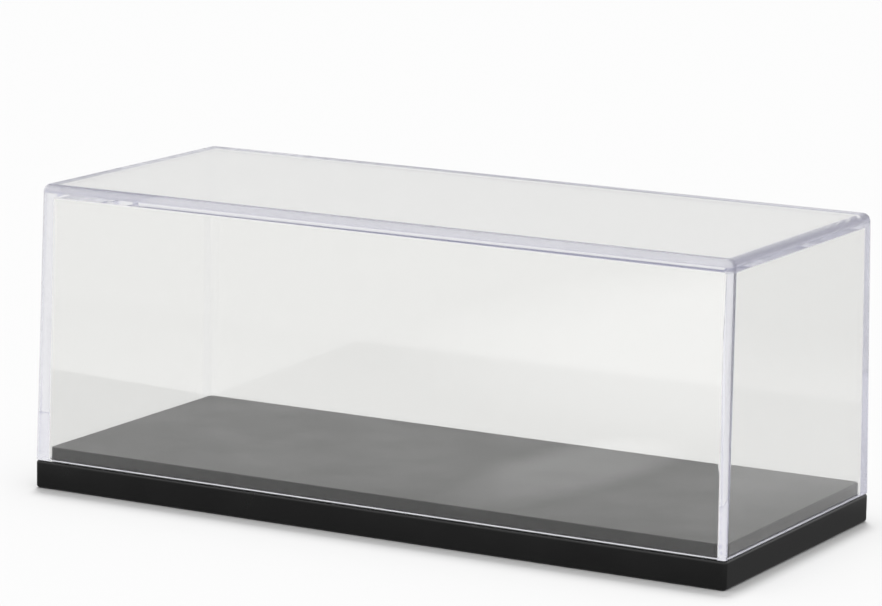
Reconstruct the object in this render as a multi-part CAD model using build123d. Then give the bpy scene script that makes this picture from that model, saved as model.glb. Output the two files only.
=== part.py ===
"""Display case for scale models: a one-piece clear cover that lifts off a black base.

Millimetres, +Z up, +X along the case. The origin is the centre of the footprint, at the
surface that the case stands on, and the front is -Y.
"""

import math
import os

from build123d import *

# Footprint, shared by the cover's rim and the base's lip
CASE_LENGTH = 152.0
CASE_DEPTH = 65.0
FOOTPRINT_CORNER_R = 0.8

# Base: a lip that the rim rests on, and a plinth that locates the cover and carries the model
LIP_HEIGHT = 5.6
PLINTH_RISE = 2.7
LIP_TOP_EDGE_R = 0.5
LIP_BOTTOM_EDGE_R = 0.6
PLINTH_CORNER_R = 1.2
PLINTH_EDGE_R = 0.3
PLINTH_PLAY = 0.15  # between the plinth and the inside of the rim, on each side

# Base underside, hollow as moulded bases are
BASE_WALL = 2.2
RIB_THICKNESS = 1.4
CROSS_RIBS = 3
RECESS_CORNER_R = 1.0

# Cover: five walls in one moulding, drafted alike inside and outside, so a wall keeps its thickness
COVER_HEIGHT = 55.7
OUTER_DRAFT_DEG = 0.76
WALL_THICKNESS = 2.3
TOP_THICKNESS = 2.7
TOP_CORNER_R = 1.9
TOP_EDGE_R = 1.6
CAVITY_RIM_CORNER_R = 0.4
CAVITY_TOP_CORNER_R = 0.4
CAVITY_EDGE_R = 0.3
RIM_EDGE_R = 0.3

# Worked out from the above
PLINTH_INSET = WALL_THICKNESS + PLINTH_PLAY
DECK_HEIGHT = LIP_HEIGHT + PLINTH_RISE
CASE_HEIGHT = LIP_HEIGHT + COVER_HEIGHT
CAVITY_TOP = CASE_HEIGHT - TOP_THICKNESS
DRAFT_SLOPE = math.tan(math.radians(OUTER_DRAFT_DEG))


def outline(inset, z, corner_r):
    """The footprint at height z, drawn in by inset on every side."""
    return Pos(0, 0, z) * RectangleRounded(CASE_LENGTH - 2 * inset, CASE_DEPTH - 2 * inset, corner_r)


def edges_at(solid, z):
    """The edges that lie flat at height z."""
    return solid.edges().filter_by_position(Axis.Z, z - 0.01, z + 0.01)


def make_ribs():
    """The ribs under the deck: one along the middle and a few across it."""
    height = DECK_HEIGHT - BASE_WALL
    ribs = Pos(0, 0, height / 2) * Box(CASE_LENGTH - 2 * BASE_WALL, RIB_THICKNESS, height)
    pitch = (CASE_LENGTH - 2 * PLINTH_INSET) / (CROSS_RIBS + 1)
    for number in range(CROSS_RIBS):
        x = (number - (CROSS_RIBS - 1) / 2) * pitch
        ribs += Pos(x, 0, height / 2) * Box(RIB_THICKNESS, CASE_DEPTH - 2 * BASE_WALL, height)
    return ribs


def make_base():
    """The black base: lip, plinth and deck in one moulding of even wall, hollow underneath."""
    lip = extrude(outline(0, 0, FOOTPRINT_CORNER_R), LIP_HEIGHT)
    lip = fillet(edges_at(lip, LIP_HEIGHT), LIP_TOP_EDGE_R)
    lip = fillet(edges_at(lip, 0), LIP_BOTTOM_EDGE_R)
    plinth = extrude(outline(PLINTH_INSET, 0, PLINTH_CORNER_R), DECK_HEIGHT)
    plinth = fillet(edges_at(plinth, DECK_HEIGHT), PLINTH_EDGE_R)
    under_lip = extrude(outline(BASE_WALL, 0, RECESS_CORNER_R), LIP_HEIGHT - BASE_WALL)
    under_deck = extrude(
        outline(PLINTH_INSET + BASE_WALL, 0, RECESS_CORNER_R), DECK_HEIGHT - BASE_WALL
    )
    recess = under_lip + under_deck
    return (lip + plinth) - (recess - make_ribs())


def make_cover():
    """The clear cover: drafted outside and inside, rounded edges, open below."""
    shell = loft(
        [
            outline(0, LIP_HEIGHT, FOOTPRINT_CORNER_R),
            outline(COVER_HEIGHT * DRAFT_SLOPE, CASE_HEIGHT, TOP_CORNER_R),
        ],
        ruled=True,
    )
    shell = fillet(edges_at(shell, CASE_HEIGHT), TOP_EDGE_R)
    inset_at_top = (CAVITY_TOP - LIP_HEIGHT) * DRAFT_SLOPE + WALL_THICKNESS
    cavity = loft(
        [
            outline(WALL_THICKNESS, LIP_HEIGHT, CAVITY_RIM_CORNER_R),
            outline(inset_at_top, CAVITY_TOP, CAVITY_TOP_CORNER_R),
        ],
        ruled=True,
    )
    cavity = fillet(edges_at(cavity, CAVITY_TOP), CAVITY_EDGE_R)
    cover = shell - cavity
    return fillet(edges_at(cover, LIP_HEIGHT), RIM_EDGE_R)


os.makedirs("parts", exist_ok=True)
export_step(make_base(), "parts/base.step")
export_step(make_cover(), "parts/clear_cover.step")
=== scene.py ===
"""Display case: a clear cover on a black base, on a white sweep in soft studio light.

Metres. The CAD base is kept and gets a material here. The CAD cover is replaced by
cover_shell, one closed mesh of the same sizes.
"""

import math

import bmesh
import bpy
from mathutils import Matrix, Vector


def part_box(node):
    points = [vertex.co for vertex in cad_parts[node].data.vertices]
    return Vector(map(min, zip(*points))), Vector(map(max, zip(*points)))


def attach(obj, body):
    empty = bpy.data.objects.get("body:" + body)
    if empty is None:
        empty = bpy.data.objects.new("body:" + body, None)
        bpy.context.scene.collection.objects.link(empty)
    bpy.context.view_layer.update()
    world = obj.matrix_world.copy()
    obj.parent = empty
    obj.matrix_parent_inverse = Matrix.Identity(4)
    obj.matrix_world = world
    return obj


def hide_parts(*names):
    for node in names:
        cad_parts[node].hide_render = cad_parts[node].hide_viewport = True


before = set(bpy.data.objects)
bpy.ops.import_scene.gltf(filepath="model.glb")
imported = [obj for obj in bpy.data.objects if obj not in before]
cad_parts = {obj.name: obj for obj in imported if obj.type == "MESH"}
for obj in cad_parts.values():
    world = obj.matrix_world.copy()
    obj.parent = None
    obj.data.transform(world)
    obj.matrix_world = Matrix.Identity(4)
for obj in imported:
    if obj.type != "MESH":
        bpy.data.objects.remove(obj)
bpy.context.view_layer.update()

MM = 0.001

# ---------------------------------------------------------------- camera
CAMERA_LENS_MM = 171.88
CAMERA_PLACE = (0.3904, -0.7101, 0.1937)
CAMERA_TURN = math.radians(28.937)
CAMERA_PITCH = math.radians(10.711)
CAMERA_ROLL = math.radians(0.982)

# ---------------------------------------------------------------- sizes of the case
HALF_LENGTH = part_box("base")[1].x
HALF_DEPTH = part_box("base")[1].y
LIP_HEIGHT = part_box("clear_cover")[0].z
CASE_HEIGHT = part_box("clear_cover")[1].z
WALL_SLOPE = math.tan(math.radians(0.76))
WALL_THICKNESS = 2.3 * MM
TOP_THICKNESS = 2.7 * MM
FOOTPRINT_CORNER_R = 0.8 * MM
TOP_CORNER_R = 1.9 * MM
TOP_EDGE_R = 1.6 * MM
CAVITY_CORNER_R = 0.4 * MM
CAVITY_EDGE_R = 0.3 * MM
RIM_EDGE_R = 0.3 * MM
LEAST_CORNER_R = 0.02 * MM
RIM_GAP = 0.05 * MM  # air under the rim, so that no face coincides with the lip's
RIM_HEIGHT = LIP_HEIGHT + RIM_GAP
CORNER_STEPS = 12
TOP_EDGE_STEPS = 10
CAVITY_EDGE_STEPS = 8
RIM_EDGE_STEPS = 4

# ---------------------------------------------------------------- materials of the case
CLEAR_COLOUR = (0.94, 0.94, 0.93, 1)
CLEAR_IOR = 1.59
CLEAR_TINT = (0.70, 0.70, 0.84, 1)
CLEAR_TINT_DENSITY = 4.0
CLEAR_HAZE_SCALE = 60.0
CLEAR_FLOW_SCALE = 25.0
CLEAR_FLOW_HEIGHT = 0.01 * MM
WALL_ROUGHNESS = (0.005, 0.03)
EDGE_ROUGHNESS = (0.18, 0.24)
RIM_COLOUR = (0.93, 0.93, 0.97, 1)
RIM_HAZE_SCALE = 200.0
RIM_ROUGHNESS = (0.02, 0.06)
BLACK_DARKEST = (0.004, 0.004, 0.0042, 1)
BLACK_LIGHTEST = (0.007, 0.007, 0.0068, 1)
BLACK_IOR = 1.52
BLACK_CLOUD_SCALE = 90.0
LIP_ROUGHNESS = (0.20, 0.28)
DECK_ROUGHNESS = (0.33, 0.39)
DECK_STARTS_ABOVE_LIP = (0.3 * MM, 0.6 * MM)
GRAIN_SCALE = 2500.0
GRAIN_HEIGHT = 0.02 * MM
GRAIN_STRENGTH = 0.35
NOISE_RANGE = (0.3, 0.7)  # where nearly all noise values lie

# ---------------------------------------------------------------- floor and light
FLOOR_HALF = 6.0
FLOOR_COLOUR = (0.64, 0.64, 0.64, 1)
WORLD_BRIGHTNESS = 1.0
BACK_LIGHT_STRENGTH = 2.4
BACK_LIGHT_ELEVATION = math.radians(44)
BACK_LIGHT_TURN = math.radians(30)
BACK_LIGHT_SPREAD = math.radians(26)

# What gloss mirrors near the floor. Brightness goes from near to middle to far, with
# distance counted in half sizes of an ellipse round the case.
CARD_HALF = 0.6
CARD_HEIGHT = 0.3 * MM
CARD_ELLIPSE = (0.088, 0.057, 1)
CARD_NEAR = 0.20
CARD_MIDDLE = 0.56
CARD_FAR = 0.24
CARD_NEAR_TO_MIDDLE = (1.1, 1.6)
CARD_MIDDLE_TO_FAR = (2.4, 4.5)
PATCH_CENTRE = (0.0, -0.30, 0)
PATCH_SIZE = (0.14, 0.20, 1)
PATCH_FADE = (0.45, 1.0)
PATCH_BRIGHT = 1.45
STREAK_CENTRE = (0.003, -0.115, 0)
STREAK_SIZE = (0.024, 0.065, 1)
STREAK_FADE = (0.2, 1.0)
STREAK_BRIGHT = 1.7

# What gloss mirrors along the horizon
WALL_RADIUS = 2.5
WALL_HEIGHT = 1.0
WALL_SEGMENTS = 96
WALL_DIM = 0.7

# Light runs a long way along the clear walls before it leaves them
MAX_BOUNCES = 160
TRANSMISSION_BOUNCES = 40
GLOSSY_BOUNCES = 140
DIFFUSE_BOUNCES = 4


# ---------------------------------------------------------------- node helpers
def new_material(name):
    material = bpy.data.materials.new(name)
    material.use_nodes = True
    nodes = material.node_tree.nodes
    nodes.clear()
    output = nodes.new("ShaderNodeOutputMaterial")
    return material, nodes, material.node_tree.links, output


def noise(nodes, links, coords, scale, detail):
    texture = nodes.new("ShaderNodeTexNoise")
    texture.inputs["Scale"].default_value = scale
    texture.inputs["Detail"].default_value = detail
    links.new(coords.outputs["Object"], texture.inputs["Vector"])
    return texture.outputs["Fac"]


def map_range(nodes, links, value, source, target, interpolation="LINEAR"):
    """Maps a value from one pair of ends to another, and holds it at the ends."""
    level = nodes.new("ShaderNodeMapRange")
    level.interpolation_type = interpolation
    level.inputs["From Min"].default_value = source[0]
    level.inputs["From Max"].default_value = source[1]
    level.inputs["To Min"].default_value = target[0]
    level.inputs["To Max"].default_value = target[1]
    links.new(value, level.inputs["Value"])
    return level.outputs["Result"]


def fade(nodes, links, value, source, target):
    return map_range(nodes, links, value, source, target, "SMOOTHSTEP")


def bump(nodes, links, height, distance, strength):
    node = nodes.new("ShaderNodeBump")
    node.inputs["Distance"].default_value = distance
    node.inputs["Strength"].default_value = strength
    links.new(height, node.inputs["Height"])
    return node.outputs["Normal"]


def calculate(nodes, links, operation, first, second):
    node = nodes.new("ShaderNodeMath")
    node.operation = operation
    links.new(first, node.inputs[0])
    links.new(second, node.inputs[1])
    return node.outputs[0]


def distance_in(nodes, links, coords, centre, size):
    """The distance from a centre, in units of the half sizes of an ellipse."""
    place = nodes.new("ShaderNodeMapping")
    place.vector_type = "TEXTURE"
    place.inputs["Location"].default_value = centre
    place.inputs["Scale"].default_value = size
    length = nodes.new("ShaderNodeVectorMath")
    length.operation = "LENGTH"
    links.new(coords.outputs["Object"], place.inputs["Vector"])
    links.new(place.outputs[0], length.inputs[0])
    return length.outputs["Value"]


# ---------------------------------------------------------------- materials
def clear_plastic(name, roughness):
    """Moulded clear polystyrene: almost colourless through a wall, lavender along it."""
    material, nodes, links, output = new_material(name)
    coords = nodes.new("ShaderNodeTexCoord")
    shader = nodes.new("ShaderNodeBsdfPrincipled")
    shader.inputs["Base Color"].default_value = CLEAR_COLOUR
    shader.inputs["Transmission Weight"].default_value = 1.0
    shader.inputs["IOR"].default_value = CLEAR_IOR
    haze = noise(nodes, links, coords, CLEAR_HAZE_SCALE, 3.0)
    links.new(map_range(nodes, links, haze, NOISE_RANGE, roughness), shader.inputs["Roughness"])
    flow = noise(nodes, links, coords, CLEAR_FLOW_SCALE, 1.0)
    links.new(bump(nodes, links, flow, CLEAR_FLOW_HEIGHT, 1.0), shader.inputs["Normal"])
    links.new(shader.outputs[0], output.inputs["Surface"])
    tint = nodes.new("ShaderNodeVolumeAbsorption")
    tint.inputs["Color"].default_value = CLEAR_TINT
    tint.inputs["Density"].default_value = CLEAR_TINT_DENSITY
    links.new(tint.outputs[0], output.inputs["Volume"])
    return material


def rim_plastic():
    """The flat under the rim, which sends the light in the walls back up them."""
    material, nodes, links, output = new_material("rim_plastic_look")
    coords = nodes.new("ShaderNodeTexCoord")
    shader = nodes.new("ShaderNodeBsdfPrincipled")
    shader.inputs["Base Color"].default_value = RIM_COLOUR
    shader.inputs["Metallic"].default_value = 1.0
    haze = noise(nodes, links, coords, RIM_HAZE_SCALE, 3.0)
    links.new(map_range(nodes, links, haze, NOISE_RANGE, RIM_ROUGHNESS), shader.inputs["Roughness"])
    links.new(shader.outputs[0], output.inputs["Surface"])
    return material


def black_plastic():
    """Black polystyrene: a glossy lip, and a deck with a fine satin texture."""
    material, nodes, links, output = new_material("black_plastic_look")
    coords = nodes.new("ShaderNodeTexCoord")
    split = nodes.new("ShaderNodeSeparateXYZ")
    links.new(coords.outputs["Object"], split.inputs[0])
    deck_starts = [LIP_HEIGHT + above for above in DECK_STARTS_ABOVE_LIP]
    on_deck = map_range(nodes, links, split.outputs["Z"], deck_starts, (0.0, 1.0))
    shader = nodes.new("ShaderNodeBsdfPrincipled")
    shader.inputs["IOR"].default_value = BLACK_IOR
    cloud = noise(nodes, links, coords, BLACK_CLOUD_SCALE, 4.0)
    shade = nodes.new("ShaderNodeMix")
    shade.data_type = "RGBA"
    shade.inputs["A"].default_value = BLACK_DARKEST
    shade.inputs["B"].default_value = BLACK_LIGHTEST
    links.new(cloud, shade.inputs["Factor"])
    links.new(shade.outputs["Result"], shader.inputs["Base Color"])
    gloss = nodes.new("ShaderNodeMix")
    links.new(on_deck, gloss.inputs["Factor"])
    links.new(map_range(nodes, links, cloud, NOISE_RANGE, LIP_ROUGHNESS), gloss.inputs["A"])
    links.new(map_range(nodes, links, cloud, NOISE_RANGE, DECK_ROUGHNESS), gloss.inputs["B"])
    links.new(gloss.outputs["Result"], shader.inputs["Roughness"])
    grain = noise(nodes, links, coords, GRAIN_SCALE, 2.0)
    links.new(bump(nodes, links, grain, GRAIN_HEIGHT, GRAIN_STRENGTH), shader.inputs["Normal"])
    links.new(shader.outputs[0], output.inputs["Surface"])
    return material


# ---------------------------------------------------------------- cover
def ring(half_length, half_depth, corner_r, z):
    """Points round a rounded rectangle at height z, anticlockwise from above."""
    points = []
    for turn, side_x, side_y in ((0, 1, 1), (1, -1, 1), (2, -1, -1), (3, 1, -1)):
        centre_x = side_x * (half_length - corner_r)
        centre_y = side_y * (half_depth - corner_r)
        for step in range(CORNER_STEPS + 1):
            angle = math.pi / 2 * (turn + step / CORNER_STEPS)
            x = centre_x + corner_r * math.cos(angle)
            y = centre_y + corner_r * math.sin(angle)
            points.append((x, y, z))
    return points


def stitch(bm, rings):
    """Quads between each ring of vertices and the next."""
    for low, high in zip(rings, rings[1:]):
        count = len(low)
        for i in range(count):
            j = (i + 1) % count
            bm.faces.new((low[i], low[j], high[j], high[i]))


def top_rounding(rim_inset, flat_height, corner_r, edge_r, steps):
    """Inset, corner radius and height of each level where a wall rounds into a flat, going up."""
    lean = math.atan(WALL_SLOPE)
    centre_height = flat_height - edge_r
    wall_inset = rim_inset + WALL_SLOPE * (centre_height - RIM_HEIGHT)
    centre_inset = wall_inset + edge_r / math.cos(lean)
    start_inset = centre_inset - edge_r * math.cos(lean)
    levels = []
    for i in range(steps + 1):
        angle = lean + (math.pi / 2 - lean) * i / steps
        inset = centre_inset - edge_r * math.cos(angle)
        corner = max(corner_r - (inset - start_inset), LEAST_CORNER_R)
        levels.append((inset, corner, centre_height + edge_r * math.sin(angle)))
    return levels


def rim_rounding(rim_inset, corner_r, direction):
    """The same for a wall that rounds into the rim, going down. Direction 1 is inwards."""
    levels = []
    for i in range(RIM_EDGE_STEPS + 1):
        angle = math.pi / 2 * i / RIM_EDGE_STEPS
        shift = direction * RIM_EDGE_R * (1 - math.cos(angle))
        height = RIM_HEIGHT + RIM_EDGE_R * (1 - math.sin(angle))
        levels.append((rim_inset + shift, corner_r - shift, height))
    return levels


def cover_levels():
    """From the ceiling's edge down the inside, round the rim and up the outside to the top."""
    ceiling = CASE_HEIGHT - TOP_THICKNESS
    inside = top_rounding(
        WALL_THICKNESS, ceiling, CAVITY_CORNER_R, CAVITY_EDGE_R, CAVITY_EDGE_STEPS
    )
    share = (CASE_HEIGHT - TOP_EDGE_R - RIM_HEIGHT) / (CASE_HEIGHT - RIM_HEIGHT)
    corner_r = FOOTPRINT_CORNER_R + (TOP_CORNER_R - FOOTPRINT_CORNER_R) * share
    outside = top_rounding(0, CASE_HEIGHT, corner_r, TOP_EDGE_R, TOP_EDGE_STEPS)
    rim_inside = rim_rounding(WALL_THICKNESS, CAVITY_CORNER_R, -1)
    rim_outside = rim_rounding(0, FOOTPRINT_CORNER_R, 1)
    return inside[::-1] + rim_inside + rim_outside[::-1] + outside


def make_cover():
    bm = bmesh.new()
    rings = []
    for inset, corner_r, z in cover_levels():
        points = ring(HALF_LENGTH - inset, HALF_DEPTH - inset, corner_r, z)
        rings.append([bm.verts.new(point) for point in points])
    stitch(bm, rings)
    bm.faces.new(list(reversed(rings[0])))
    bm.faces.new(rings[-1])
    bmesh.ops.recalc_face_normals(bm, faces=bm.faces)
    for face in bm.faces:
        height = face.calc_center_median().z
        if height < RIM_HEIGHT + 0.1 * RIM_EDGE_R:
            face.material_index = 1
        if height > CASE_HEIGHT - TOP_EDGE_R and len(face.verts) == 4:
            face.material_index = 2
    mesh = bpy.data.meshes.new("cover_shell")
    bm.to_mesh(mesh)
    bm.free()
    for face in mesh.polygons:
        face.use_smooth = True
    cover = bpy.data.objects.new("cover_shell", mesh)
    bpy.context.scene.collection.objects.link(cover)
    flat_walls = cover.modifiers.new("flat_walls", "WEIGHTED_NORMAL")
    flat_walls.mode = "FACE_AREA"
    flat_walls.weight = 100
    mesh.materials.append(clear_plastic("clear_plastic_look", WALL_ROUGHNESS))
    mesh.materials.append(rim_plastic())
    mesh.materials.append(clear_plastic("edge_plastic_look", EDGE_ROUGHNESS))
    return cover


# ---------------------------------------------------------------- camera, floor and light
def add_camera():
    data = bpy.data.cameras.new("camera")
    data.lens = CAMERA_LENS_MM
    data.sensor_width = 36.0
    data.clip_start = 0.01
    data.clip_end = 50.0
    camera = bpy.data.objects.new("camera", data)
    turn = Matrix.Rotation(CAMERA_TURN, 4, "Z")
    tilt = Matrix.Rotation(math.pi / 2 - CAMERA_PITCH, 4, "X")
    roll = Matrix.Rotation(CAMERA_ROLL, 4, "Z")
    camera.matrix_world = Matrix.Translation(CAMERA_PLACE) @ turn @ tilt @ roll
    bpy.context.scene.collection.objects.link(camera)
    bpy.context.scene.camera = camera


def add_world():
    world = bpy.data.worlds.new("studio")
    bpy.context.scene.world = world
    world.use_nodes = True
    background = world.node_tree.nodes["Background"]
    background.inputs["Color"].default_value = (1, 1, 1, 1)
    background.inputs["Strength"].default_value = WORLD_BRIGHTNESS


def flat_square(name, half, z):
    corners = [(-half, -half, z), (half, -half, z), (half, half, z), (-half, half, z)]
    mesh = bpy.data.meshes.new(name)
    mesh.from_pydata(corners, [], [(0, 1, 2, 3)])
    square = bpy.data.objects.new(name, mesh)
    bpy.context.scene.collection.objects.link(square)
    return square


def add_floor():
    floor = flat_square("floor", FLOOR_HALF, 0)
    material, nodes, links, output = new_material("sweep")
    shader = nodes.new("ShaderNodeBsdfDiffuse")
    shader.inputs["Color"].default_value = FLOOR_COLOUR
    links.new(shader.outputs[0], output.inputs["Surface"])
    floor.data.materials.append(material)


def mirror_only(card):
    """Seen in gloss, and by nothing else."""
    card.visible_camera = False
    card.visible_diffuse = False
    card.visible_transmission = False
    card.visible_shadow = False


def glow(nodes, links, output, strength):
    emission = nodes.new("ShaderNodeEmission")
    links.new(strength, emission.inputs["Strength"])
    links.new(emission.outputs[0], output.inputs["Surface"])


def add_mirror_card():
    """What gloss mirrors near the floor: dim, with a soft bright patch and streak in front."""
    card = flat_square("mirror_card", CARD_HALF, CARD_HEIGHT)
    material, nodes, links, output = new_material("mirror_card_look")
    coords = nodes.new("ShaderNodeTexCoord")
    away = distance_in(nodes, links, coords, (0, 0, 0), CARD_ELLIPSE)
    near = fade(nodes, links, away, CARD_NEAR_TO_MIDDLE, (CARD_NEAR, CARD_MIDDLE))
    drop = fade(nodes, links, away, CARD_MIDDLE_TO_FAR, (0.0, CARD_MIDDLE - CARD_FAR))
    level = calculate(nodes, links, "SUBTRACT", near, drop)
    for centre, size, ends, bright in (
        (PATCH_CENTRE, PATCH_SIZE, PATCH_FADE, PATCH_BRIGHT),
        (STREAK_CENTRE, STREAK_SIZE, STREAK_FADE, STREAK_BRIGHT),
    ):
        distance = distance_in(nodes, links, coords, centre, size)
        spot = fade(nodes, links, distance, ends, (bright, 0.0))
        level = calculate(nodes, links, "MAXIMUM", level, spot)
    glow(nodes, links, output, level)
    card.data.materials.append(material)
    mirror_only(card)


def add_mirror_wall():
    """What the top and the deck mirror low down all round: dimmer than the dome above it."""
    bm = bmesh.new()
    bmesh.ops.create_cone(
        bm, segments=WALL_SEGMENTS, radius1=WALL_RADIUS, radius2=WALL_RADIUS, depth=WALL_HEIGHT
    )
    mesh = bpy.data.meshes.new("mirror_wall")
    bm.to_mesh(mesh)
    bm.free()
    wall = bpy.data.objects.new("mirror_wall", mesh)
    wall.location.z = WALL_HEIGHT / 2
    bpy.context.scene.collection.objects.link(wall)
    material, nodes, links, output = new_material("mirror_wall_look")
    coords = nodes.new("ShaderNodeTexCoord")
    split = nodes.new("ShaderNodeSeparateXYZ")
    links.new(coords.outputs["Object"], split.inputs[0])
    upper_half = (0.0, WALL_HEIGHT / 2)
    level = fade(nodes, links, split.outputs["Z"], upper_half, (WALL_DIM, WORLD_BRIGHTNESS))
    glow(nodes, links, output, level)
    mesh.materials.append(material)
    mirror_only(wall)


def add_back_light():
    light = bpy.data.lights.new("back_light", "SUN")
    light.energy = BACK_LIGHT_STRENGTH
    light.angle = BACK_LIGHT_SPREAD
    lamp = bpy.data.objects.new("back_light", light)
    turn = Matrix.Rotation(BACK_LIGHT_TURN, 4, "Z")
    lean = Matrix.Rotation(-(math.pi / 2 - BACK_LIGHT_ELEVATION), 4, "X")
    lamp.matrix_world = turn @ lean
    lamp.visible_glossy = False
    lamp.visible_transmission = False
    bpy.context.scene.collection.objects.link(lamp)


# ---------------------------------------------------------------- make it
add_camera()
add_world()
add_floor()
add_mirror_card()
add_mirror_wall()
add_back_light()

cover = make_cover()
cover.visible_shadow = False
cover.visible_diffuse = False
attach(cover, "cover")
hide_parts("clear_cover")
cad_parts["base"].data.materials[0] = black_plastic()

scene = bpy.context.scene
scene.view_settings.view_transform = "Standard"
scene.view_settings.look = "None"
scene.cycles.max_bounces = MAX_BOUNCES
scene.cycles.transmission_bounces = TRANSMISSION_BOUNCES
scene.cycles.glossy_bounces = GLOSSY_BOUNCES
scene.cycles.diffuse_bounces = DIFFUSE_BOUNCES
